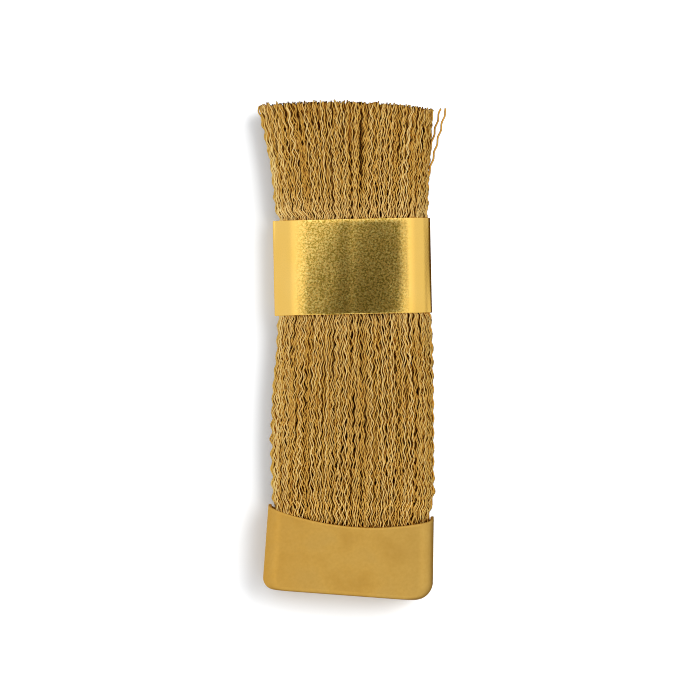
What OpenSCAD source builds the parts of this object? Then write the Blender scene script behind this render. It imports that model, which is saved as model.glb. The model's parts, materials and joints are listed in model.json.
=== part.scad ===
// Flat brass wire brush for cleaning tips and burs: a bundle of crimped wires doubled over inside a
// sheet cap, with a sheet band that slides along the wires to stiffen or to free their tips.
// The brush lies on its back. X is its width, +Y points to the wire tips, +Z is its front.

/* [Wire bundle] */
// Overall length, from the cap's closed end to the longest wire tips
brush_l = 63; // [58:0.5:80]
// Width of the bundle where the band holds it
bundle_w = 18.6; // [17:0.1:18.6]
// Thickness of the bundle
bundle_t = 5.4; // [3:0.1:5.4]
// How far the tips flare past the bundle's width on the left side
flare_left = 2.65; // [0.5:0.05:2.8]
// How far the tips flare past the bundle's width on the right side
flare_right = 1.4; // [0.5:0.05:1.6]
// How much shorter the wires get away from the longest ones, per square millimetre
tip_arch = 0.0054; // [0:0.0002:0.01]
// Where across the bundle the longest wires are
tip_peak_x = -3; // [-6:0.5:6]
// Tufts on each side of the middle tuft
side_tufts = 4; // [2:1:6]
// Radius of one wire
wire_r = 0.1; // [0.06:0.01:0.15]

/* [Sliding band] */
// Outer width of the band
band_w = 19.9; // [19.9:0.1:21]
// Height of the band along the wires
band_h = 12; // [8:0.5:12]
// Outer thickness of the band
band_t = 6.4; // [6.4:0.1:7]
// Thickness of its sheet
band_sheet = 0.35; // [0.2:0.05:0.35]
// How far the band sits askew on the wires, in degrees
band_tilt = 1.2; // [0:0.1:1.2]
// Distance from the cap's closed end to the band's lower edge
band_from_end = 36; // [30:0.5:40]
// Width of the butt seam at the band's back
seam_gap = 0.15; // [0.05:0.05:0.4]

/* [End cap] */
// Outer width of the cap at its closed end
cap_w = 21.4; // [21.4:0.1:23]
// How much narrower its right side is at the mouth
cap_taper = 0.5; // [0:0.05:0.5]
// Outer thickness of the cap
cap_t = 6.6; // [6.4:0.1:8]
// Thickness of its sheet
cap_sheet = 0.4; // [0.2:0.05:0.4]
// Height of the cap at its sides
cap_side_h = 10.7; // [9:0.1:11]
// How deep its mouth is scooped at the middle of the front and the back
mouth_sag = 1.85; // [0.5:0.05:2.5]
// Radius of the closed end's left corner
corner_left_r = 1.5; // [1:0.1:2.5]
// Radius of the closed end's right corner
corner_right_r = 2.3; // [1:0.1:2.5]
// Radius along the long edges of the front and the back
long_edge_r = 2; // [1:0.1:2.2]
// Radius along the closed end's front and back edges
end_edge_r = 1.1; // [0.6:0.1:1.5]
// How far the cap sits askew on the wires, in degrees
cap_skew = 4.2; // [0:0.1:4.2]
// How far the cap sits to the left of the wires
cap_shift = 0.69; // [0:0.01:0.7]

/* [Fold in the cap] */
// Radius of the wire that the bundle is doubled over
anchor_r = 0.5; // [0.3:0.05:0.8]
// Length of that wire
anchor_l = 18.8; // [14:0.1:19]
// Width of the doubled ends
fold_w = 17.8; // [14:0.1:17.8]

/* [Hidden] */
$fn = 64;
cap_colour = [0.78, 0.62, 0.30];
band_colour = [0.92, 0.76, 0.36];
wire_colour = [0.72, 0.56, 0.30];

// The sheet parts lie on z = 0, and the bundle runs through the middle of the band.
mid_z = band_t / 2;
half_w = bundle_w / 2;
side_r = bundle_t / 2;
// The round sides of the bundle are left this thick at their outermost line.
edge_half_t = 0.6;
edge_columns = 4;
fold_gap = 0.05;
tuft_gap = 0.12;
// How much the gap between tufts grows per millimetre of length, so that the band can gather them.
tuft_gap_growth = 0.0245;
tip_stations = 6;
through = 40;

band_low_y = band_from_end - brush_l / 2;
band_top_y = band_low_y + band_h;
// The tips swing about the band's lower edge, and the joint of the lower and the upper wires is left open.
pivot_y = band_low_y;
joint_gap = 0.3;
longest_y = brush_l / 2;

// The askew cap's right corner is its lowest point, and it touches the near end of the brush's length.
corner_x = cap_w / 2 - corner_right_r;
cap_lift = corner_right_r + sin(cap_skew) * corner_x - cos(cap_skew) * corner_right_r;
cap_y = cap_lift - brush_l / 2;
mouth_half = cap_w / 2;
mouth_r = (pow(mouth_half, 2) + pow(mouth_sag, 2)) / (2 * mouth_sag);
mouth_low = cap_side_h - mouth_sag;
fold_clearance = 0.8;
fold_leg = 3;
fold_y = cap_sheet + fold_clearance + side_r;
fold_top = fold_y + fold_leg;
fold_joint = 0.1;

// The two stray wires at the right-hand tips: where each leaves the bundle, and where it ends.
strays = [[[10.5, 25.1], [11.82, 30.6]], [[10.55, 26], [11.2, 30.5]]];

function side_name(i) = i == 0 ? "middle" : str(i < 0 ? "left_" : "right_", abs(i));
function lower_name(i) = str("lower_wires_", side_name(i));
function upper_name(i) = str("upper_wires_", side_name(i));

// Half-width of the bundle at y: straight below the pivot, and above it the parabola that meets the
// bundle's own half-width at both edges of the band and flares to the tips.
function flared_half(y, flare) =
    y <= pivot_y ? half_w
    : half_w + flare * (y - pivot_y) * (y - band_top_y)
        / ((longest_y - pivot_y) * (longest_y - band_top_y));

// X of the line that runs up the bundle at a fraction of its half-width, from -1 at the left to 1.
function line_x(fraction, y) = fraction * flared_half(y, fraction < 0 ? flare_left : flare_right);

// Half thickness at x where the bundle is half_wide across: flat faces and round sides.
function half_t(x, half_wide) =
    let (over = abs(x) - (half_wide - side_r))
    over <= 0 ? side_r : max(edge_half_t, sqrt(max(0, pow(side_r, 2) - pow(over, 2))));

function gap_at(y) = tuft_gap + tuft_gap_growth * max(0, y - pivot_y);
function tip_y(x) = longest_y - tip_arch * pow(x - tip_peak_x, 2);
function fraction_of(i) = i / (side_tufts + 0.5);

// The cross-section of tuft i at y, as a ring of points: along its front, and back along its back.
// lean tilts the section in plan, in millimetres of y for each millimetre of x.
function tuft_ring(i, y, lean, columns) =
    let (
        from = line_x(fraction_of(i - 0.5), y) + (i == -side_tufts ? 0 : gap_at(y) / 2),
        to = line_x(fraction_of(i + 0.5), y) - (i == side_tufts ? 0 : gap_at(y) / 2),
        wide = flared_half(y, i < 0 ? flare_left : flare_right),
        xs = [for (c = [0:columns]) from + (to - from) * c / columns]
    )
    concat(
        [for (x = xs) [x, y + lean * x, mid_z + half_t(x, wide)]],
        [for (c = [columns:-1:0]) [xs[c], y + lean * xs[c], mid_z - half_t(xs[c], wide)]]
    );

// A closed skin over rings of the same number of points.
module loft(rings) {
    size = len(rings[0]);
    last = len(rings) - 1;
    walls = [for (r = [0:last - 1], a = [0:size - 1])
        let (b = (a + 1) % size, low = r * size, high = low + size)
        each [[low + a, high + b, low + b], [low + a, high + a, high + b]]];
    ends = [[for (a = [0:size - 1]) a], [for (a = [size - 1:-1:0]) last * size + a]];
    polyhedron([for (ring = rings) each ring], concat(walls, ends), 4);
}

// Only the outermost tufts follow the round sides.
function columns_of(i) = abs(i) == side_tufts ? edge_columns : 1;

// One tuft from the fold to the joint under the band; its lower end follows the askew fold.
module lower_wires(i) {
    lean = -tan(cap_skew);
    low = cap_y + fold_top / cos(cap_skew) + fold_joint + lean * cap_shift;
    color(wire_colour)
        loft([tuft_ring(i, low, lean, columns_of(i)), tuft_ring(i, pivot_y - joint_gap, 0, columns_of(i))]);
}

// One tuft from the joint under the band to the tips.
module upper_wires(i) {
    tip = tip_y(line_x(fraction_of(i), longest_y));
    color(wire_colour)
        loft([for (s = [0:tip_stations])
            tuft_ring(i, pivot_y + (tip - pivot_y) * s / tip_stations, 0, columns_of(i))]);
}

module stray_wires() {
    color(wire_colour)
        for (s = strays) {
            run = s[1] - s[0];
            translate([s[0].x, s[0].y, mid_z])
                rotate([0, 0, atan2(run.y, run.x)])
                    rotate([0, 90, 0])
                        cylinder(h = norm(run), r = wire_r, $fn = 16);
        }
}

module flat_oval(w, t) {
    square([w - t, t], center = true);
    for (side = [-1, 1])
        translate([side * (w - t) / 2, 0])
            circle(d = t);
}

// A strip bent to a flat oval, its ends butting at the middle of the back.
module sliding_band() {
    color(band_colour)
        translate([0, band_low_y + band_h / 2, mid_z])
            rotate([0, 0, band_tilt])
                rotate([90, 0, 0])
                    linear_extrude(band_h, center = true)
                        difference() {
                            flat_oval(band_w, band_t);
                            flat_oval(band_w - 2 * band_sheet, band_t - 2 * band_sheet);
                            translate([0, -band_t / 2])
                                square([seam_gap, 4 * band_sheet], center = true);
                        }
}

// Puts the cap's own parts where the cap sits: askew, and a little to the left.
module in_cap() {
    translate([-cap_shift, cap_y, 0])
        rotate([0, 0, -cap_skew])
            children();
}

// The cap's outline from the front, drawn in by inset, with its mouth end cut straight at top.
module cap_plan(inset, top) {
    left = -cap_w / 2;
    right = cap_w / 2;
    translate([left + corner_left_r, corner_left_r])
        circle(corner_left_r - inset);
    translate([right - corner_right_r, corner_right_r])
        circle(corner_right_r - inset);
    polygon([
        [left + corner_left_r, inset],
        [right - corner_right_r, inset],
        [right - corner_right_r, corner_right_r],
        [right - inset, corner_right_r],
        [right - inset - cap_taper, top],
        [left + inset, top],
        [left + inset, corner_left_r],
        [left + corner_left_r, corner_left_r]
    ]);
}

// A rectangle centred on the origin, w by t, with rounded corners.
module rounded_box(w, t, r) {
    square([w - 2 * r, t], center = true);
    square([w, t - 2 * r], center = true);
    for (x = [-1, 1], y = [-1, 1])
        translate([x * (w / 2 - r), y * (t / 2 - r)])
            circle(r);
}

// The cap's solid form, drawn in by inset on every side but the mouth.
module cap_form(inset, top) {
    intersection() {
        linear_extrude(cap_t)
            cap_plan(inset, top);
        translate([0, 0, cap_t / 2])
            rotate([90, 0, 0])
                linear_extrude(through, center = true)
                    rounded_box(cap_w - 2 * inset, cap_t - 2 * inset, long_edge_r - inset);
        translate([0, inset + through / 2, cap_t / 2])
            rotate([90, 0, 90])
                linear_extrude(through, center = true)
                    rounded_box(through, cap_t - 2 * inset, end_edge_r - inset);
    }
}

module end_cap() {
    color(cap_colour)
        in_cap()
            difference() {
                cap_form(0, cap_side_h + 1);
                cap_form(cap_sheet, cap_side_h + 2);
                translate([0, mouth_low + mouth_r, -1])
                    cylinder(h = cap_t + 2, r = mouth_r, $fn = 200);
            }
}

module anchor_wire() {
    color(cap_colour)
        in_cap()
            translate([-anchor_l / 2, fold_y, mid_z])
                rotate([0, 90, 0])
                    cylinder(h = anchor_l, r = anchor_r);
}

// The bent ends of all the wires, where the bundle is doubled over the anchor wire.
module folded_ends() {
    color(wire_colour)
        in_cap()
            translate([0, fold_y, mid_z])
                rotate([90, 0, 90])
                    linear_extrude(fold_w, center = true)
                        difference() {
                            union() {
                                circle(side_r);
                                translate([0, -side_r])
                                    square([fold_top - fold_y, 2 * side_r]);
                            }
                            circle(anchor_r + fold_gap);
                        }
}

end_cap();
sliding_band();
anchor_wire();
folded_ends();
stray_wires();
for (i = [-side_tufts:side_tufts]) {
    lower_wires(i);
    upper_wires(i);
}
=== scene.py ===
"""Looks of the flat brass wire brush: crimped wires, a sheet end cap and a sliding sheet band.

Shapes are worked out in millimetres, in the part's frame, and made in metres. X is across, +Y is
towards the tips and Z is up.
"""

import json
import math

import bpy
import numpy as np
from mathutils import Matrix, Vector


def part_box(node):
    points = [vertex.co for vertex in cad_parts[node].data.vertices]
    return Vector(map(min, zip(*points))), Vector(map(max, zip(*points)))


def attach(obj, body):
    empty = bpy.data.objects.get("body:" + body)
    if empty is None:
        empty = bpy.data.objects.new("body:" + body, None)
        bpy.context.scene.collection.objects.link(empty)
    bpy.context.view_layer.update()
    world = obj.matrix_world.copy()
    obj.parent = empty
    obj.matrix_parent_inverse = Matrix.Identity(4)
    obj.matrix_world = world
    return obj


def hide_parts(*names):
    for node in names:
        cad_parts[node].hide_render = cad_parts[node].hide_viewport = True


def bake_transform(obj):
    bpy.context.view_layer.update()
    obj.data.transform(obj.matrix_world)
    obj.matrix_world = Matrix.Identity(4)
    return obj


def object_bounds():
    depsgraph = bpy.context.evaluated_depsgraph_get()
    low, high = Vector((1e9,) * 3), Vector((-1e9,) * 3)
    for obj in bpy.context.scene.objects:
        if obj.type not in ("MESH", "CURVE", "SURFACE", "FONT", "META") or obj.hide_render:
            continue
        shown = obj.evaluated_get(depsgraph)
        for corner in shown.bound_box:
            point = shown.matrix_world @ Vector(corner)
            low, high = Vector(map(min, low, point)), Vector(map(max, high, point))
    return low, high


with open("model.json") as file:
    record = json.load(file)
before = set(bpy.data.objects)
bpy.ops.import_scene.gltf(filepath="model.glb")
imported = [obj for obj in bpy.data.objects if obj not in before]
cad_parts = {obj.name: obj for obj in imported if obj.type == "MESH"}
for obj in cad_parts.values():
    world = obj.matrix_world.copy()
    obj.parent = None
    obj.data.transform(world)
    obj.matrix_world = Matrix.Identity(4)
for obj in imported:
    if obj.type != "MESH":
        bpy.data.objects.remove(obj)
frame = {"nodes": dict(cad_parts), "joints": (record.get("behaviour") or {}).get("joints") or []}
CAD_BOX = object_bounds()
MM = 0.001
RNG = np.random.default_rng(20)

# ---------------------------------------------------------------- places, from the frame, in millimetres


def node_box(name):
    low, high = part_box(name)
    return np.array(low) / MM, np.array(high) / MM


def joint(name):
    return next(j for j in frame["joints"] if j["name"] == name)


FOLDS_BOX = node_box("folded_ends")
ANCHOR_BOX = node_box("anchor_wire")
LONGEST_Y = CAD_BOX[1].y / MM
END_Y = CAD_BOX[0].y / MM
PIVOT_Y = joint("splay_left_1")["pos_m"][1] / MM
WIRES_LOW_Y = node_box("lower_wires_middle")[0][1]
SIDE_TUFTS = 4

# The band's strip, as part.scad draws it.
BAND_W, BAND_H, BAND_T, BAND_SHEET = 19.9, 12.0, 6.4, 0.35
BAND_TILT = math.radians(1.2)
SEAM_GAP = 0.15
BAND_MID_Y = PIVOT_Y + BAND_H / 2
BAND_TOP_Y = PIVOT_Y + BAND_H
MID_Z = BAND_T / 2
# The band's front is crowned about a ridge that leans to the right towards the tips.
CROWN_LEFT_R, CROWN_RIGHT_R, CROWN_LONG_R, CROWN_LONG_MID = 74.0, 46.0, 170.0, -2.0
RIDGE_X, RIDGE_LEAN = 2.3, 0.15
# Near its round sides the front falls away faster.
SHOULDER_LEFT_X, SHOULDER_RIGHT_X, SHOULDER_R = 5.6, 5.7, 14.0

# The cap's sheet, as part.scad draws it but with a crisper edge at its closed end.
CAP_W, CAP_T, CAP_SHEET, CAP_TAPER = 21.4, 6.6, 0.4, 0.5
CAP_SKEW = math.radians(4.2)
CAP_SHIFT = 0.69
CORNER_LEFT_R, CORNER_RIGHT_R, LONG_EDGE_R, END_EDGE_R = 1.5, 2.3, 2.0, 0.7
# The middle of the cap's closed end. Its right-hand corner is the lowest point, at END_Y.
CAP_Y = END_Y + CORNER_RIGHT_R
CAP_Y += math.sin(CAP_SKEW) * (CAP_W / 2 - CORNER_RIGHT_R) - math.cos(CAP_SKEW) * CORNER_RIGHT_R
MOUTH_Y = END_Y + 10.0

# ---------------------------------------------------------------- mesh helpers


def smooth(t):
    t = np.clip(t, 0.0, 1.0)
    return t * t * (3 - 2 * t)


def new_mesh(name, verts, faces):
    """A mesh object from an (n, 3) array in millimetres and arrays of faces, each of one corner count."""
    me = bpy.data.meshes.new(name)
    me.vertices.add(len(verts))
    me.vertices.foreach_set("co", (np.asarray(verts, float) * MM).astype(np.float32).ravel())
    loops = np.concatenate([f.ravel() for f in faces])
    sizes = np.concatenate([np.full(len(f), f.shape[1]) for f in faces])
    me.loops.add(len(loops))
    me.loops.foreach_set("vertex_index", loops.astype(np.int32))
    me.polygons.add(len(sizes))
    me.polygons.foreach_set("loop_start", np.concatenate([[0], np.cumsum(sizes)[:-1]]).astype(np.int32))
    me.polygons.foreach_set("use_smooth", np.full(len(sizes), True))
    me.update(calc_edges=True)
    me.validate()
    ob = bpy.data.objects.new(name, me)
    bpy.context.scene.collection.objects.link(ob)
    return ob


def grid_faces(rows, cols):
    """Quads over a rows x cols grid of points whose columns join round."""
    r, c = np.meshgrid(np.arange(rows - 1), np.arange(cols), indexing="ij")
    r2, c2 = r + 1, (c + 1) % cols
    return np.stack([r * cols + c, r * cols + c2, r2 * cols + c2, r2 * cols + c], -1).reshape(-1, 4)


# ---------------------------------------------------------------- the bundle's outline

BUNDLE_HALF = 9.2  # centre line of the outermost wires where the band holds them
SIDE_R = 2.6
FLAT_HALF = BUNDLE_HALF - SIDE_R
SKIN = 0.27  # from the outermost wires' centre lines to the outline that they make
HELD = BUNDLE_HALF + SKIN
# The outline's half-widths at the bulge, in the cap's mouth and just under the band.
BULGE_LEFT, BULGE_RIGHT = 10.3, 10.38
NECK_LEFT, NECK_RIGHT = 9.95, 9.75
UNDER_BAND_LEFT, UNDER_BAND_RIGHT = 9.55, 10.0
# The bulge narrows over this much length up to the band.
NARROWING_LEFT, NARROWING_RIGHT = 21.0, 14.0
# Above the band: offset in the band, step out above it, flare at the tips, and the flare's even share.
ABOVE_LEFT = (0.0, 0.42, 2.1, 0.5)
ABOVE_RIGHT = (-0.05, 0.15, 1.0, 0.25)
TIP_DROP, TIP_ARCH, TIP_PEAK_X = 0.3, 0.0054, -3.0


def above_band(y, offset, step, flare, even):
    up = np.clip((y - BAND_TOP_Y) / (LONGEST_Y - BAND_TOP_Y), 0, 1.1)
    return HELD + offset + step * smooth((y - BAND_TOP_Y) / 1.5) + flare * (even * up + (1 - even) * up**2)


def outline(y, right):
    """Half-width at y of the outermost wires' centre lines, on one side: a bulge, a waist, a flare."""
    bulge = np.where(right, BULGE_RIGHT, BULGE_LEFT)
    neck = np.where(right, NECK_RIGHT, NECK_LEFT)
    near_band = np.where(right, UNDER_BAND_RIGHT, UNDER_BAND_LEFT)
    narrowing = np.where(right, NARROWING_RIGHT, NARROWING_LEFT)
    below = bulge - (bulge - near_band) * np.clip((y - PIVOT_Y + narrowing) / narrowing, 0, 1) ** 2
    below = neck + (below - neck) * smooth((y - MOUTH_Y + 0.3) / 4.0)
    above = np.where(right, above_band(y, *ABOVE_RIGHT), above_band(y, *ABOVE_LEFT))
    waist = below + (HELD - below) * smooth((y - PIVOT_Y + 0.2) / 1.2)
    return np.where(y < BAND_MID_Y, waist, above) - SKIN


def place_x(x_ref, y):
    """X at y of a wire that is at x_ref where the band holds it. The round sides keep their shape."""
    half = outline(y, x_ref > 0)
    inner = x_ref * (half - SIDE_R) / FLAT_HALF
    outer = np.sign(x_ref) * (half - (BUNDLE_HALF - np.abs(x_ref)))
    return np.where(np.abs(x_ref) <= FLAT_HALF, inner, outer)


def tip_y(x):
    """The line that the tips follow, a shallow arch."""
    return LONGEST_Y - TIP_DROP - TIP_ARCH * (x - TIP_PEAK_X) ** 2


# ---------------------------------------------------------------- crimped wires

WIRE_R = 0.1
# The crimp's length, and its reach across and in depth.
CRIMP, CRIMP_ACROSS, CRIMP_DEEP = 1.82, 0.125, 0.06
# How each wire wanders, as reach and period.
WANDER = ((0.09, 21.0), (0.06, 9.0), (0.04, 4.6))
# Random spreads: of tips along Y and across, of crimp lengths and of where the crimps start.
TIP_SPREAD, SIDE_SPREAD, CRIMP_SPREAD, PHASE_SPREAD = 0.14, 0.10, 0.012, 0.6
# How far below and above the tips' line a wire may end.
TIP_SHORT, TIP_LONG = 0.5, 0.45
# How much the wires' own wander periods and crimps differ, as factors.
OWN_PERIOD, OWN_ACROSS, OWN_DEEP = (0.8, 1.25), (0.65, 1.35), (0.3, 1.3)
# The outer wires part at this x of the held section, on the border between two tufts.
PARTING_X = BUNDLE_HALF * 0.5 / (SIDE_TUFTS + 0.5)
# The push on each side of the parting, its loss at the tips, how fast it fades across, and how far from
# the middle in depth a wire is where it starts to be pushed.
PARTING_PUSH, PARTING_LOSS, PARTING_FADE, PARTING_DEPTH = 0.24, 0.12, 0.8, 1.9


def wave(t):
    """The crimp's shape: a sine with slightly straightened flanks."""
    return np.sin(t) - np.sin(3 * t) / 30


def perimeter(depth, spacing, offset):
    """Points round the held section, depth inside its outermost wires, as (x, z from the middle)."""
    r = SIDE_R - depth
    straight, turn = 2 * FLAT_HALF, math.pi * r
    total = 2 * (straight + turn)
    n = max(8, int(round(total / spacing)))
    s = (np.arange(n) + offset + RNG.uniform(-0.16, 0.16, n)) * total / n % total
    x, z = np.empty(n), np.empty(n)
    for k, a in enumerate(s):
        if a < straight:
            x[k], z[k] = -FLAT_HALF + a, r
        elif a < straight + turn:
            t = (a - straight) / r
            x[k], z[k] = FLAT_HALF + r * math.sin(t), r * math.cos(t)
        elif a < 2 * straight + turn:
            x[k], z[k] = FLAT_HALF - (a - straight - turn), -r
        else:
            t = (a - 2 * straight - turn) / r
            x[k], z[k] = -FLAT_HALF - r * math.sin(t), -r * math.cos(t)
    return x, z


def filling(depth, spacing):
    """Points that fill the held section, deeper than depth."""
    r = SIDE_R - depth
    xs = np.arange(-BUNDLE_HALF, BUNDLE_HALF, spacing)
    zs = np.arange(-r, r + 0.01, spacing * 0.9)
    x, z = np.meshgrid(xs, zs, indexing="ij")
    x = x + RNG.uniform(-0.3, 0.3, x.shape) * spacing + (np.arange(len(zs)) % 2) * spacing / 2
    z = z + RNG.uniform(-0.25, 0.25, x.shape) * spacing
    over = np.maximum(np.abs(x) - FLAT_HALF, 0)
    keep = over**2 + z**2 < r * r
    return x[keep], z[keep]


def bunching(x_ref, y):
    """Wires draw together into strands about a millimetre wide, which drift along the bundle."""
    drift = 1.2 * np.sin(y / 7.1) + 0.8 * np.sin(y / 3.3 + 1)
    strands = 0.07 * np.sin(2 * math.pi * x_ref[:, None] / 1.15 + drift)
    return strands + 0.05 * np.sin(2 * math.pi * x_ref[:, None] / 0.71 + 2 - 1.7 * drift)


def parting(x_ref, z_ref, y):
    """The outer wires part a little along one line, from the band to the tips."""
    away = x_ref[:, None] - PARTING_X
    reach = PARTING_PUSH - PARTING_LOSS * smooth((y - LONGEST_Y + 4) / 4)
    push = reach * np.sign(away) * np.exp(-np.abs(away) / PARTING_FADE)
    outermost = smooth((np.abs(z_ref)[:, None] - PARTING_DEPTH) / 0.3)
    return push * outermost * smooth((y - BAND_TOP_Y - 1) / 7)


def herd_phase(x_ref):
    """Where along the crimp each wire starts: neighbours keep step, most of all on the left."""
    herd = 1.5 * np.sin(x_ref / 1.3) + 1.1 * np.sin(x_ref / 0.47 + 2)
    return (herd * (0.3 + 0.7 * smooth((x_ref + 2.5) / 4)))[:, None]


def under_band(x, y, z):
    """Z drawn in so that the wires fit inside the crowned band anywhere on its travel."""
    drop = np.maximum(band_drop(x, BAND_H / 2), band_drop(x, -BAND_H / 2)) * (z > MID_Z)
    clearance, crimp_and_wander = 0.08, 0.18
    room = (BAND_T / 2 - BAND_SHEET - WIRE_R - clearance - drop) / (SIDE_R + crimp_and_wander)
    in_travel = smooth((y - MOUTH_Y - 0.5) / 2)
    return MID_Z + (z - MID_Z) * (1 + in_travel * (room - 1))


def any_phase(n):
    """A random phase for each of n wires."""
    return RNG.uniform(0, 6.3, (n, 1))


def wire_paths(x_ref, z_ref, rings, low_y):
    """Centre lines, (wires, rings, 3), of crimped wires from the fold in the cap to the tips."""
    n = len(x_ref)
    top_x = place_x(x_ref, np.full(n, LONGEST_Y))
    top = tip_y(top_x) + np.clip(RNG.normal(0, TIP_SPREAD, n), -TIP_SHORT, TIP_LONG)
    t = np.linspace(0, 1, rings)[None, :]
    y = low_y[:, None] + (top - low_y)[:, None] * t
    x = place_x(np.repeat(x_ref[:, None], rings, 1), y)
    z = MID_Z + np.repeat(z_ref[:, None], rings, 1)
    calm = 1 - 0.8 * np.exp(-(((x_ref - PARTING_X) / 0.5) ** 2))[:, None]
    free = smooth((y - BAND_TOP_Y) / 12) * calm + 0.7 * smooth((y - MOUTH_Y) / 4) * smooth((PIVOT_Y - y) / 4)
    for reach, period in WANDER:
        own_period = period * RNG.uniform(*OWN_PERIOD, (n, 1))
        x = x + free * reach * np.sin(2 * math.pi * y / own_period + any_phase(n))
        z = z + 0.5 * free * reach * np.sin(2 * math.pi * y / own_period + any_phase(n))
    x = x + RNG.normal(0, SIDE_SPREAD, (n, 1)) * smooth((y - BAND_TOP_Y) / 15) * calm
    x = x + bunching(x_ref, y) + parting(x_ref, z_ref, y)
    length = CRIMP * RNG.normal(1, CRIMP_SPREAD, (n, 1))
    phase = 2 * math.pi * y / length + herd_phase(x_ref) + RNG.normal(0, PHASE_SPREAD, (n, 1))
    phase = phase + 0.5 * np.sin(2 * math.pi * y / 17 + any_phase(n))
    across = CRIMP_ACROSS * RNG.uniform(*OWN_ACROSS, (n, 1))
    across = across * (1 + 0.25 * np.sin(2 * math.pi * y / 7.7 + any_phase(n)))
    deep = CRIMP_DEEP * RNG.uniform(*OWN_DEEP, (n, 1))
    x = x + across * wave(phase)
    z = z + deep * wave(phase + any_phase(n))
    return np.stack([x, y, under_band(x, y, z)], -1)


def rings_round(paths, across, up, radius, angles):
    """Points at these angles round every point of the paths, as (wires, rings, sides, 3)."""
    c, s = np.cos(angles)[:, None], np.sin(angles)[:, None]
    return paths[:, :, None, :] + radius * (across[:, :, None, :] * c + up[:, :, None, :] * s)


def tube_points(paths, radius, sides):
    """Rings of points round each path, square to the path."""
    tangent = np.gradient(paths, axis=1)
    tangent /= np.linalg.norm(tangent, axis=-1, keepdims=True)
    across = np.cross(tangent, np.array([0.0, 0.0, 1.0]))
    across /= np.linalg.norm(across, axis=-1, keepdims=True)
    up = np.cross(across, tangent)
    angles = 2 * math.pi * np.arange(sides) / sides + math.pi / 2
    return rings_round(paths, across, up, radius, angles)


def add_tones(ob, tones):
    """Each wire's tone, which the wire's material reads: its own random tone, kept low in the deeper layers
    of the bundle as painted shade.
    """
    attribute = ob.data.attributes.new("tone", "FLOAT", "POINT")
    attribute.data.foreach_set("value", np.concatenate(tones).astype(np.float32))


def tubes(name, groups):
    """One mesh of closed tubes. Each of groups is (paths, radius, sides, (lowest tone, highest tone))."""
    verts, quads, caps, tones, uvs = [], [], [], [], []
    base = 0
    wires_in_all = sum(len(group[0]) for group in groups)
    column = 0
    for paths, radius, sides, tone_range in groups:
        n, rings = paths.shape[:2]
        if not n:
            continue
        points = tube_points(paths, radius, sides)
        verts.append(points.reshape(-1, 3))
        one = grid_faces(rings, sides)
        starts = base + np.arange(n) * rings * sides
        quads.append((starts[:, None, None] + one[None]).reshape(-1, 4))
        near = np.arange(sides)
        far = (rings - 1) * sides + np.arange(sides)[::-1]
        caps += [starts[:, None] + near[None], starts[:, None] + far[None]]
        tone = RNG.uniform(*tone_range, (n, 1, 1)) + np.zeros((n, rings, sides))
        tones.append(tone.ravel())
        base += n * rings * sides
        uvs.append((n, rings, sides, column, one))
        column += n
    by_size = {}
    for c in caps:
        by_size.setdefault(c.shape[1], []).append(c)
    faces = [np.concatenate(quads)] + [np.concatenate(v) for v in by_size.values()]
    ob = new_mesh(name, np.concatenate(verts), faces)
    add_tones(ob, tones)
    strip_map(ob, uvs, by_size, wires_in_all)
    return ob


def strip_map(ob, groups, caps, wires_in_all):
    """A UV map with one upright strip for each wire, so that a bake of these meshes needs no unwrapping."""
    corners = []
    for n, rings, sides, column, one in groups:
        ring, side = np.divmod(one, sides)
        side = np.where((side == 0) & (np.arange(4)[None] % 3 != 0), sides, side)
        u = (0.1 + 0.8 * side / sides)[None] + (column + np.arange(n))[:, None, None]
        v = np.repeat((0.01 + 0.98 * ring / (rings - 1))[None], n, 0)
        corners.append(np.stack([u / wires_in_all, v], -1).reshape(-1, 2))
    for group in caps.values():
        corners.append(np.full((sum(c.size for c in group), 2), 0.5 / wires_in_all))
    layer = ob.data.uv_layers.new(name="OFBake")
    layer.data.foreach_set("uv", np.concatenate(corners).astype(np.float32).ravel())


def tuft_of(x_ref):
    return np.clip(np.round(x_ref / BUNDLE_HALF * (SIDE_TUFTS + 0.5)), -SIDE_TUFTS, SIDE_TUFTS).astype(int)


def side_name(i):
    return "middle" if i == 0 else ("left_" if i < 0 else "right_") + str(abs(i))


FOLD_TOP_Y = WIRES_LOW_Y + 0.4
# Each layer's depth, spacing, offset along the section, rings and sides of a wire, and range of tones. The
# deeper layers get lower tones: painted shade that darkens and browns the wires inside the bundle.
LAYERS = (
    (0.0, 0.275, 0.0, 276, 4, (0.35, 1.0)),
    (0.16, 0.275, 0.5, 276, 4, (0.25, 0.85)),
    (0.31, 0.3, 0.2, 200, 4, (0.0, 0.3)),
    (0.50, 0.34, 0.6, 165, 3, (0.0, 0.1)),
)
# The filling's low tones are painted shade, as for the deeper layers.
FILL_DEPTH, FILL_SPACING, FILL_RINGS, FILL_SHADE_TONES = 0.78, 0.36, 165, (0.0, 0.1)


def make_wires():
    sections = [perimeter(*layer[:3]) + layer[3:] for layer in LAYERS]
    sections.append(filling(FILL_DEPTH, FILL_SPACING) + (FILL_RINGS, 3, FILL_SHADE_TONES))
    per_tuft = {i: [] for i in range(-SIDE_TUFTS, SIDE_TUFTS + 1)}
    for x_ref, z_ref, rings, sides, tone_range in sections:
        low = FOLD_TOP_Y - math.tan(CAP_SKEW) * x_ref
        paths = wire_paths(x_ref, z_ref, rings, low)
        which = tuft_of(x_ref)
        for i in per_tuft:
            per_tuft[i].append((paths[which == i], WIRE_R, sides, tone_range))
    made = []
    for i, groups in per_tuft.items():
        made.append((i, tubes("wires_" + side_name(i), groups)))
    return made


STRAY_R, STRAY_CRIMP_ACROSS, STRAY_TONES = 0.13, 0.08, (0.0, 0.05)
# X and Y of each stray wire's end, and the Y at which it leaves the bundle.
STRAY_ENDS = ((11.85, LONGEST_Y - 0.95, 21.8), (11.15, LONGEST_Y - 0.95, 24.5))


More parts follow.
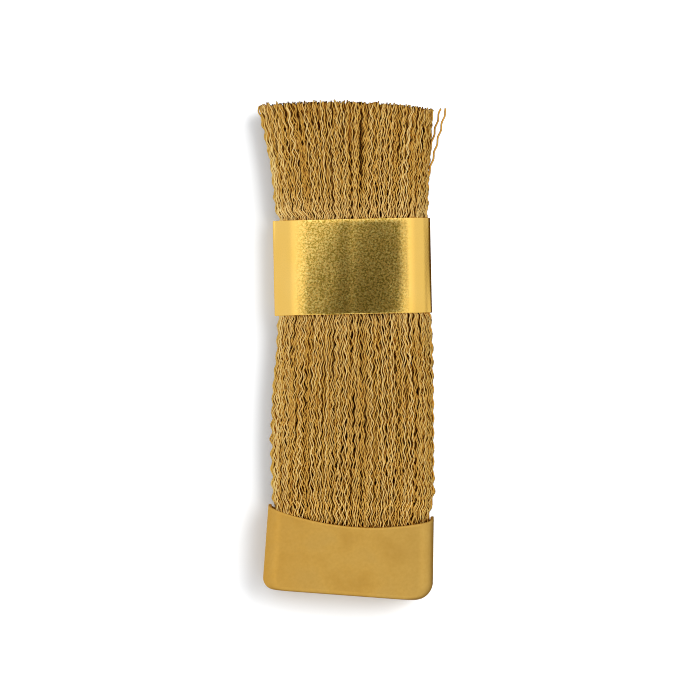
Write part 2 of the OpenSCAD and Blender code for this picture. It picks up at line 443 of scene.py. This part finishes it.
def make_strays():
    """Two wires of the right-hand edge that leave the bundle near its top."""
    rings, sides = 276, 5
    paths = []
    for k, (end_x, end_y, leave_y) in enumerate(STRAY_ENDS):
        y = np.linspace(FOLD_TOP_Y - 0.5, end_y, rings)
        x = outline(y, np.full(rings, True)) + 0.06 - 0.1 * k
        out = np.clip((y - leave_y) / (end_y - leave_y), 0, 1)
        start = np.interp(leave_y, y, x)
        x = np.where(y > leave_y, start + (end_x - start) * out, x)
        z = MID_Z + 0.25 - 0.5 * k + 0 * y
        x = x + STRAY_CRIMP_ACROSS * wave(2 * math.pi * y / CRIMP + 2.0 * k)
        paths.append(np.stack([x, y, z], -1))
    return tubes("stray_wire_pair", [(np.array(paths), STRAY_R, sides, STRAY_TONES)])


# ---------------------------------------------------------------- sheet parts


def flat_oval(n, w, t, half_gap):
    """n points and outward normals round a flat oval in (x, z), with a gap at the middle of its back."""
    r = t / 2
    half = (w - t) / 2
    straight, turn = w - t, math.pi * r
    total = 2 * (straight + turn)
    points, normals = [], []
    for a in half_gap + (total - 2 * half_gap) * np.arange(n) / (n - 1):
        if a < half:
            point, normal = (a, -r), (0, -1)
        elif a < half + turn:
            angle = (a - half) / r
            normal = (math.sin(angle), -math.cos(angle))
            point = (half + r * normal[0], r * normal[1])
        elif a < half + turn + straight:
            point, normal = (half - (a - half - turn), r), (0, 1)
        elif a < half + 2 * turn + straight:
            angle = (a - half - turn - straight) / r
            normal = (-math.sin(angle), math.cos(angle))
            point = (-half + r * normal[0], r * normal[1])
        else:
            point, normal = (-half + (a - half - 2 * turn - straight), -r), (0, -1)
        points.append(point)
        normals.append(normal)
    return np.array(points), np.array(normals)


def quarter(centre, r, first, steps):
    """Points of a quarter turn about centre, from the angle first, without its two ends."""
    angles = [first + math.pi / 2 * k / steps for k in range(1, steps)]
    return [(centre[0] + r * math.cos(a), centre[1] + r * math.sin(a)) for a in angles]


def strip_profile(half_h, sheet, r):
    """Points (along, inset) round the cut of a sheet strip with rounded rims, as a closed loop."""
    steps, rows = 5, 24
    straight = [(half_h - r) * (2 * k / rows - 1) for k in range(rows + 1)]
    out = [(along, 0.0) for along in straight]
    out += quarter((half_h - r, r), r, -math.pi / 2, steps)
    out += [(half_h, r), (half_h, sheet - r)]
    out += quarter((half_h - r, sheet - r), r, 0.0, steps)
    out += [(along, sheet) for along in reversed(straight)]
    out += quarter((r - half_h, sheet - r), r, math.pi / 2, steps)
    out += [(-half_h, sheet - r), (-half_h, r)]
    out += quarter((r - half_h, r), r, math.pi, steps)
    return np.array(out)


def band_drop(x, y):
    """How far the band's front lies under its ridge, at x across and y along from the band's middle."""
    from_ridge = x - RIDGE_X - RIDGE_LEAN * y
    radius = np.where(from_ridge > 0, CROWN_RIGHT_R, CROWN_LEFT_R)
    crown = from_ridge**2 / (2 * radius) + (y - CROWN_LONG_MID) ** 2 / (2 * CROWN_LONG_R)
    flat = (BAND_W - BAND_T) / 2
    shoulder_x = np.where(x > 0, SHOULDER_RIGHT_X, SHOULDER_LEFT_X)
    past_shoulder = np.maximum(np.minimum(np.abs(x), flat) - shoulder_x, 0)
    return crown + past_shoulder**2 / (2 * SHOULDER_R)


BAND_RIM_R, BAND_SINK = 0.1, 0.02


def make_band():
    """One strip bent round the bundle: crisp rims, a faintly crowned front, and a butt seam at the back."""
    section, normal = flat_oval(220, BAND_W, BAND_T, SEAM_GAP / 2)
    profile = strip_profile(BAND_H / 2, BAND_SHEET, BAND_RIM_R)
    along, inset = profile[:, 0], profile[:, 1]
    x = section[:, None, 0] - normal[:, None, 0] * inset[None]
    z = section[:, None, 1] - normal[:, None, 1] * inset[None]
    y = np.repeat(along[None], len(section), 0)
    front = smooth(section[:, None, 1] / (BAND_T / 2) * 1.5)
    dent = 0.012 * np.sin(x / 1.9 + 0.8) * np.sin(y / 2.3 + 0.4)
    dent = dent + 0.004 * np.sin(x / 0.7) * np.cos(y / 1.2 + 1)
    dent = dent + 0.024 * np.exp(-(((x + 0.5 - 0.03 * y) / 0.8) ** 2))
    z = z - front * (BAND_SINK + band_drop(x, y) + dent)
    c, s = math.cos(BAND_TILT), math.sin(BAND_TILT)
    points = np.stack([x * c - y * s, x * s + y * c + BAND_MID_Y, z + MID_Z], -1)
    rows, cols = points.shape[:2]
    faces = grid_faces(rows, cols)[:, ::-1]
    near = np.arange(cols)[None]
    far = ((rows - 1) * cols + np.arange(cols)[::-1])[None]
    return new_mesh("band", points.reshape(-1, 3), [faces, near, far])


# The cap's mouth: its lowest height above the closed end, its bow, the height where it levels out, and
# how far the lowest place is from the middle.
MOUTH_LOW, MOUTH_BOW, MOUTH_PEAK, MOUTH_MID_X = 8.66, 0.0137, 10.65, 0.4


def cap_section(n, half_w, half_t, r):
    """n points round a rounded rectangle in (x, z) from its front's middle, with their arc lengths."""
    corner = math.pi / 2 * r
    flat_x, flat_z = half_w - r, half_t - r
    runs = [flat_x, corner, 2 * flat_z, corner, 2 * flat_x, corner, 2 * flat_z, corner, flat_x]
    ends = np.cumsum(runs)
    total = ends[-1]
    arc = total * np.arange(n) / n
    points = []
    for a in arc:
        leg = int(np.searchsorted(ends, a, side="right"))
        b = a - (ends[leg - 1] if leg else 0)
        sn, cs = r * math.sin(b / r), r * math.cos(b / r)
        points.append((
            (b, half_t),
            (flat_x + sn, flat_z + cs),
            (half_w, flat_z - b),
            (flat_x + cs, -flat_z - sn),
            (flat_x - b, -half_t),
            (-flat_x - sn, -flat_z - cs),
            (-half_w, -flat_z + b),
            (-flat_x - cs, flat_z + sn),
            (-flat_x + b, half_t),
        )[leg])
    return np.array(points), arc, total


def drawn_in(up, r):
    """How far a rounded edge of radius r lies inside its square corner, at the height up."""
    q = np.clip((r - up) / r, 0, 1)
    return r - r * np.sqrt(1 - q**2)


def cap_surface(inset, rows, n, floor_rows):
    """Rings of the cap's skin, drawn in by inset, from its mouth down the walls and in over its floor."""
    half_w, half_t = CAP_W / 2 - inset, CAP_T / 2 - inset
    left_r, right_r, end_r = CORNER_LEFT_R - inset, CORNER_RIGHT_R - inset, END_EDGE_R - inset
    section, arc, total = cap_section(n, half_w, half_t, LONG_EDGE_R - inset)
    section_x, section_z = section[:, 0], section[:, 1]
    right = section_x > 0
    # Arc length from the middle of the front or of the back, whichever is nearer.
    from_mid = np.where(arc > total / 2, total - arc, arc)
    from_mid = np.where(from_mid > total / 4, total / 2 - from_mid, from_mid)
    from_mid = np.abs(from_mid - MOUTH_MID_X * np.sign(section_x))
    mouth = MOUTH_LOW + MOUTH_BOW * from_mid**2
    mouth = MOUTH_PEAK - np.log1p(np.exp((MOUTH_PEAK - mouth) * 6)) / 6
    grid = []
    for k in range(rows + floor_rows + 1):
        y = inset + (mouth - inset) * max(1 - k / rows, 0) ** 1.4
        up = y - inset
        pull_x = np.where(right, drawn_in(up, right_r), drawn_in(up, left_r))
        taper = np.where(right, CAP_TAPER * np.clip((y - CORNER_RIGHT_R) / 8.5, 0, 1.1), 0)
        x_share = smooth(np.abs(section_x) / half_w * 1.6)
        z_share = np.minimum(1, np.abs(section_z) / half_t)
        x = section_x - np.sign(section_x) * (pull_x + taper) * x_share
        z = section_z - np.sign(section_z) * drawn_in(up, end_r) * z_share
        shrink = 1 - max(k - rows, 0) / (floor_rows + 1)
        grid.append(np.stack([x * shrink, y, z * shrink + CAP_T / 2], -1))
    return np.array(grid)


CAP_FRONT_SINK, CAP_CROWN, CAP_WOBBLE, LIP_RISE = 0.03, 0.10, 0.03, 0.06


def make_cap():
    """A box of thin sheet, open to the wires, with a rounded lip and a slightly crowned, uneven front."""
    n, rows, floor_rows = 240, 44, 6
    outer = cap_surface(0.0, rows, n, floor_rows)
    inner = cap_surface(CAP_SHEET, rows, n, floor_rows)
    wobble = CAP_WOBBLE * np.sin(outer[..., 0] / 3.1 + 0.5) * np.sin(outer[..., 1] / 2.7 + 1.1)
    front = smooth((outer[..., 2] - CAP_T / 2) / (CAP_T / 2) * 1.4)
    crown = CAP_CROWN * (outer[..., 0] / (CAP_W / 2)) ** 2 + CAP_FRONT_SINK
    outer[..., 2] -= front * (crown + wobble) * smooth(outer[..., 1] / 1.5)
    lip_mid = (outer[:1] + inner[:1]) / 2
    lip_mid[..., 1] += LIP_RISE
    grid = np.concatenate([outer[::-1], lip_mid, inner])
    x, y = grid[..., 0].copy(), grid[..., 1].copy()
    c, s = math.cos(CAP_SKEW), math.sin(CAP_SKEW)
    grid[..., 0] = x * c + y * s - CAP_SHIFT
    grid[..., 1] = -x * s + y * c + CAP_Y
    total_rows = len(grid)
    faces = grid_faces(total_rows, n)
    near = np.arange(n)[None][:, ::-1]
    far = ((total_rows - 1) * n + np.arange(n))[None]
    return new_mesh("cap", grid.reshape(-1, 3), [faces, near, far])


# ---------------------------------------------------------------- the folds in the cap

FOLD_RADII = (0.65, 0.95, 1.25, 1.55, 1.85, 2.15, 2.45)
FOLD_SPACING, FOLD_LEG = 0.33, 3.2


def fold_paths():
    """Centre lines of the wires' bends round the anchor wire, inside the cap, one array for each radius."""
    mid = (ANCHOR_BOX[0] + ANCHOR_BOX[1]) / 2
    c, s = math.cos(CAP_SKEW), math.sin(CAP_SKEW)
    half = (FOLDS_BOX[1][0] - FOLDS_BOX[0][0]) / 2 - 0.6
    turn = np.linspace(-math.pi / 2, math.pi / 2, 15)
    leg = FOLD_LEG * np.linspace(0, 1, 12)[1:]
    made = []
    for radius in FOLD_RADII:
        across = np.arange(-half, half, FOLD_SPACING) + RNG.uniform(-0.05, 0.05)
        y = np.concatenate([leg[::-1], -radius * np.cos(turn), leg])
        z = np.concatenate([np.full(len(leg), -radius), radius * np.sin(turn), np.full(len(leg), radius)])
        x = across[:, None] + 0.06 * np.sin(y * 3.4 + radius * 7)[None]
        x = x + RNG.uniform(-0.05, 0.05, (len(across), 1))
        z = np.repeat(z[None], len(across), 0)
        made.append(np.stack([mid[0] + x * c + y * s, mid[1] - x * s + y * c, mid[2] + z], -1))
    return made


def make_folds():
    """One mesh of tubes for the folds. X is square to these paths, which turn in the YZ plane."""
    sides = 4
    angles = 2 * math.pi * np.arange(sides) / sides
    verts, quads, caps, tones = [], [], [], []
    base = 0
    for paths in fold_paths():
        n, rings = paths.shape[:2]
        tangent = np.gradient(paths, axis=1)
        tangent /= np.linalg.norm(tangent, axis=-1, keepdims=True)
        up = np.cross(np.array([1.0, 0.0, 0.0]), tangent)
        up /= np.linalg.norm(up, axis=-1, keepdims=True)
        across = np.cross(tangent, up)
        verts.append(rings_round(paths, across, up, WIRE_R, angles).reshape(-1, 3))
        one = grid_faces(rings, sides)[:, ::-1]
        starts = base + np.arange(n) * rings * sides
        quads.append((starts[:, None, None] + one[None]).reshape(-1, 4))
        near = np.arange(sides)[::-1]
        far = (rings - 1) * sides + np.arange(sides)
        caps += [starts[:, None] + near[None], starts[:, None] + far[None]]
        tones.append(np.repeat(RNG.uniform(0, 1, n), rings * sides))
        base += n * rings * sides
    ob = new_mesh("folded_wire_ends", np.concatenate(verts), [np.concatenate(quads), np.concatenate(caps)])
    add_tones(ob, tones)
    return ob


# ---------------------------------------------------------------- materials


class Nodes:
    """Short calls for building one material's nodes."""

    def __init__(self, name):
        self.mat = bpy.data.materials.new(name)
        self.mat.use_nodes = True
        self.tree = self.mat.node_tree
        self.shader = self.tree.nodes["Principled BSDF"]
        self.coords = self.add("ShaderNodeTexCoord").outputs["Object"]

    def add(self, kind, **values):
        node = self.tree.nodes.new(kind)
        for key, value in values.items():
            setattr(node, key, value)
        return node

    def link(self, source, target):
        self.tree.links.new(source, target)

    def axis(self, name):
        """One coordinate in the object's own space, in metres."""
        node = self.add("ShaderNodeSeparateXYZ")
        self.link(self.coords, node.inputs[0])
        return node.outputs[name]

    def noise(self, scale, detail=3.0, rough=0.55):
        node = self.add("ShaderNodeTexNoise")
        node.inputs["Scale"].default_value = scale
        node.inputs["Detail"].default_value = detail
        node.inputs["Roughness"].default_value = rough
        self.link(self.coords, node.inputs["Vector"])
        return node.outputs["Fac"]

    def ramp(self, source, stops):
        node = self.add("ShaderNodeValToRGB")
        self.link(source, node.inputs["Fac"])
        elements = node.color_ramp.elements
        while len(elements) < len(stops):
            elements.new(0.5)
        for element, (at, colour) in zip(elements, stops):
            element.position = at
            element.color = (*colour, 1)
        return node.outputs["Color"]

    def span(self, source, low, high, to_low, to_high):
        node = self.add("ShaderNodeMapRange")
        for key, value in (("From Min", low), ("From Max", high), ("To Min", to_low), ("To Max", to_high)):
            node.inputs[key].default_value = value
        self.link(source, node.inputs["Value"])
        return node.outputs["Result"]

    def times(self, a, b):
        node = self.add("ShaderNodeMath", operation="MULTIPLY")
        self.link(a, node.inputs[0])
        self.link(b, node.inputs[1])
        return node.outputs[0]

    def mix(self, fac, a, b):
        node = self.add("ShaderNodeMix", data_type="RGBA")
        for socket, value in ((node.inputs[0], fac), (node.inputs[6], a), (node.inputs[7], b)):
            if hasattr(value, "links"):
                self.link(value, socket)
            else:
                socket.default_value = value if isinstance(value, float) else (*value, 1)
        return node.outputs[2]

    def bump(self, height, strength, distance):
        node = self.add("ShaderNodeBump")
        node.inputs["Strength"].default_value = strength
        node.inputs["Distance"].default_value = distance
        self.link(height, node.inputs["Height"])
        return node.outputs["Normal"]


# Colours along each ramp, as place and linear colour.
# The wires' low tones, darker and browner, are painted shade for the wires deep in the bundle.
WIRE_TONES = (
    (0.0, (0.72, 0.37, 0.06)),
    (0.3, (0.60, 0.345, 0.065)),
    (0.6, (0.71, 0.455, 0.11)),
    (1.0, (0.92, 0.71, 0.31)),
)
# The second colour is painted light, lightening the wires where they are packed tight at the band.
WIRE_PATCH, WIRE_PAINTED_LIGHT_AT_BAND = (0.65, 0.38, 0.08), (0.96, 0.76, 0.36)
CAP_TONES = (
    (0.3, (0.56, 0.32, 0.06)),
    (0.5, (0.63, 0.385, 0.085)),
    (0.7, (0.58, 0.37, 0.095)),
)
# Towards the left the cap turns more orange; towards the right it darkens, painted shade on its right side.
CAP_LEFT, CAP_RIGHT_SHADE = (0.59, 0.33, 0.06), (0.55, 0.36, 0.095)
CAP_PALE_SPECK, CAP_DARK_SPECK = (0.66, 0.42, 0.11), (0.49, 0.28, 0.055)
BAND_TONES = (
    (0.3, (0.84, 0.53, 0.115)),
    (0.7, (0.86, 0.56, 0.145)),
)
# The pale speck colour is painted glints on the band's front and back.
BAND_PAINTED_GLINT, BAND_DARK_SPECK = (1.0, 0.76, 0.24), (0.44, 0.30, 0.04)


def wire_material():
    """Drawn brass with a tone for each wire, dull patches, and a paler stretch at the band: painted light
    standing in for the fewer shaded gaps where the wires pack tight.
    """
    n = Nodes("drawn_brass_wire")
    tone = n.add("ShaderNodeAttribute", attribute_name="tone").outputs["Fac"]
    base = n.ramp(tone, WIRE_TONES)
    patches = n.span(n.noise(260, 2.0), 0.35, 0.7, 0.0, 0.55)
    base = n.mix(patches, base, WIRE_PATCH)
    along = n.axis("Y")
    # Painted light: the wires are lightened under the band and for a few millimetres above it.
    below_top = n.span(along, BAND_TOP_Y * MM, (BAND_TOP_Y + 3.5) * MM, 0.32, 0.0)
    above_foot = n.span(along, (PIVOT_Y - 3) * MM, (PIVOT_Y + 2) * MM, 0.0, 1.0)
    base = n.mix(n.times(below_top, above_foot), base, WIRE_PAINTED_LIGHT_AT_BAND)
    n.link(base, n.shader.inputs["Base Color"])
    n.shader.inputs["Metallic"].default_value = 1.0
    n.shader.inputs["Specular Tint"].default_value = (0.9, 0.6, 0.22, 1)
    n.shader.inputs["Roughness"].default_value = 0.3
    return n.mat


def cap_material():
    """Satin brass, unevenly coloured, with pale and dark specks, more orange towards the left and darkened
    towards the right by painted shade.
    """
    n = Nodes("satin_pressed_brass")
    broad = n.noise(180, 3.0)
    fine = n.noise(2600, 3.0)
    across = n.axis("X")
    base = n.ramp(broad, CAP_TONES)
    base = n.mix(n.span(across, -3 * MM, -10 * MM, 0.0, 0.55), base, CAP_LEFT)
    # Painted shade: the right side darkened.
    base = n.mix(n.span(across, 2 * MM, 9 * MM, 0.0, 0.5), base, CAP_RIGHT_SHADE)
    base = n.mix(n.span(n.noise(900, 3.0, 0.6), 0.35, 0.75, 0.0, 0.3), base, CAP_PALE_SPECK)
    base = n.mix(n.span(fine, 0.35, 0.75, 0.0, 0.35), base, CAP_DARK_SPECK)
    n.link(base, n.shader.inputs["Base Color"])
    n.shader.inputs["Metallic"].default_value = 1.0
    n.link(n.span(broad, 0.3, 0.7, 0.50, 0.56), n.shader.inputs["Roughness"])
    n.shader.inputs["Specular Tint"].default_value = (1.0, 0.82, 0.5, 1)
    n.link(n.bump(fine, 0.15, 0.00004), n.shader.inputs["Normal"])
    return n.mat


def band_material():
    """Polished brass with fine speckle on the front and back between the round sides: pale specks are
    painted glints, dark specks darker flecks.
    """
    n = Nodes("polished_band_brass")
    base = n.ramp(n.noise(150, 3.0), BAND_TONES)
    grain = n.noise(3600, 2.0, 0.55)
    across = n.add("ShaderNodeMath", operation="ABSOLUTE")
    n.link(n.axis("X"), across.inputs[0])
    face = n.span(across.outputs[0], 5.6 * MM, 7.4 * MM, 1.0, 0.0)
    # Painted glints: pale specks on the front and back.
    pale = n.times(face, n.span(n.noise(3900, 2.0, 0.6), 0.45, 0.6, 0.0, 1.0))
    base = n.mix(pale, base, BAND_PAINTED_GLINT)
    dark = n.times(face, n.span(n.noise(4300, 2.0, 0.6), 0.46, 0.6, 0.0, 1.0))
    base = n.mix(dark, base, BAND_DARK_SPECK)
    n.link(base, n.shader.inputs["Base Color"])
    n.shader.inputs["Metallic"].default_value = 1.0
    n.shader.inputs["Specular Tint"].default_value = (0.95, 0.75, 0.35, 1)
    n.link(n.span(grain, 0.3, 0.7, 0.14, 0.2), n.shader.inputs["Roughness"])
    n.link(n.bump(grain, 1.0, 0.000006), n.shader.inputs["Normal"])
    return n.mat


def assign(ob, mat):
    ob.data.materials.clear()
    ob.data.materials.append(mat)


# ---------------------------------------------------------------- the object

WIRE_MAT, CAP_MAT, BAND_MAT = wire_material(), cap_material(), band_material()

for index, piece in make_wires():
    assign(piece, WIRE_MAT)
    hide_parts("lower_wires_" + side_name(index), "upper_wires_" + side_name(index))
    if index == 0:
        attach(piece, "brush")
    else:
        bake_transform(piece)

strays = make_strays()
assign(strays, WIRE_MAT)
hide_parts("stray_wires")
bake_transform(strays)

folds = make_folds()
assign(folds, WIRE_MAT)
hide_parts("folded_ends")
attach(folds, "brush")

cap = make_cap()
assign(cap, CAP_MAT)
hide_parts("end_cap")
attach(cap, "brush")

band = make_band()
assign(band, BAND_MAT)
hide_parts("sliding_band")
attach(band, "band")

for slot in frame["nodes"]["anchor_wire"].material_slots:
    slot.material = CAP_MAT

# ---------------------------------------------------------------- stage, light and camera


def make_floor():
    """A wide white table. Mirror-like reflections miss it and see the lower half of the studio instead."""
    bpy.ops.mesh.primitive_plane_add(size=40.0, location=(0, 0, -0.00005))
    floor = bpy.context.object
    floor.name = "floor"
    floor.visible_glossy = False
    n = Nodes("white_table")
    n.shader.inputs["Base Color"].default_value = (0.785, 0.81, 0.85, 1)
    n.shader.inputs["Roughness"].default_value = 1.0
    n.shader.inputs["Specular IOR Level"].default_value = 0.0
    assign(floor, n.mat)


class World:
    """A studio dome, as light that depends on direction: lobes mixed over a base."""

    def __init__(self):
        self.world = bpy.data.worlds.new("studio")
        bpy.context.scene.world = self.world
        self.world.use_nodes = True
        self.tree = self.world.node_tree
        self.direction = self.tree.nodes.new("ShaderNodeTexCoord").outputs["Generated"]
        self.colour = None

    def base(self, colour):
        node = self.tree.nodes.new("ShaderNodeRGB")
        node.outputs[0].default_value = (*colour, 1)
        self.colour = node.outputs[0]

    def lobe(self, towards, start, full, colour):
        """Mix colour in within start degrees of the direction towards, fully within full degrees."""
        axis = np.array(towards, float)
        axis /= np.linalg.norm(axis)
        dot = self.tree.nodes.new("ShaderNodeVectorMath")
        dot.operation = "DOT_PRODUCT"
        dot.inputs[1].default_value = axis
        self.tree.links.new(self.direction, dot.inputs[0])
        angle = self.tree.nodes.new("ShaderNodeMath")
        angle.operation = "ARCCOSINE"
        self.tree.links.new(dot.outputs["Value"], angle.inputs[0])
        span = self.tree.nodes.new("ShaderNodeMapRange")
        span.interpolation_type = "SMOOTHSTEP"
        span.inputs["From Min"].default_value = math.radians(full)
        span.inputs["From Max"].default_value = math.radians(start)
        span.inputs["To Min"].default_value = 1.0
        span.inputs["To Max"].default_value = 0.0
        self.tree.links.new(angle.outputs[0], span.inputs["Value"])
        mix = self.tree.nodes.new("ShaderNodeMix")
        mix.data_type = "RGBA"
        self.tree.links.new(span.outputs[0], mix.inputs[0])
        self.tree.links.new(self.colour, mix.inputs[6])
        mix.inputs[7].default_value = (*colour, 1)
        self.colour = mix.outputs[2]

    def done(self):
        self.tree.links.new(self.colour, self.tree.nodes["Background"].inputs["Color"])


def make_world():
    """White walls, a brighter ceiling with a dark patch where the camera is, and a dark lower half."""
    studio = World()
    studio.base((1.0, 1.0, 1.0))
    # The ceiling, the dark patch in it, and the lower half.
    studio.lobe((0, 0.15, 1), 62, 30, (1.32, 1.29, 1.24))
    studio.lobe((0.02, -0.05, 1), 25, 6, (0.125, 0.116, 0.075))
    studio.lobe((0, 0, -1), 78, 55, (0.13, 0.07, 0.03))
    # Low at the sides: dark on the right, white on the left.
    studio.lobe((0.75, 0, -0.66), 34, 14, (0.10, 0.06, 0.03))
    studio.lobe((-1, 0, -0.6), 66, 36, (1.0, 0.99, 0.98))
    studio.done()


def area_light(name, place, size, energy, colour):
    data = bpy.data.lights.new(name, "AREA")
    data.shape = "RECTANGLE"
    data.size, data.size_y = size
    data.energy = energy
    data.color = colour
    ob = bpy.data.objects.new(name, data)
    bpy.context.scene.collection.objects.link(ob)
    ob.location = place
    ob.rotation_euler = (-Vector(place)).to_track_quat("-Z", "Y").to_euler()
    ob.visible_glossy = False


def make_camera():
    """Straight overhead. The picture is view_w wide at the height at_z."""
    data = bpy.data.cameras.new("camera")
    data.lens, data.sensor_width = 200, 36
    view_w, at_z = 0.0882, 1.5 * MID_Z * MM
    distance = view_w * data.lens / data.sensor_width
    camera = bpy.data.objects.new("camera", data)
    bpy.context.scene.collection.objects.link(camera)
    camera.location = (-0.0003, 0.0, distance + at_z)
    bpy.context.scene.camera = camera


make_floor()
make_world()
area_light("key", (0.42, 0.20, 0.50), (0.52, 0.52), 6.2, (1.0, 0.98, 0.94))
make_camera()
bpy.context.scene.cycles.glossy_bounces = 8
bpy.context.scene.cycles.filter_width = 1.0
bpy.context.scene.view_settings.view_transform = "Standard"
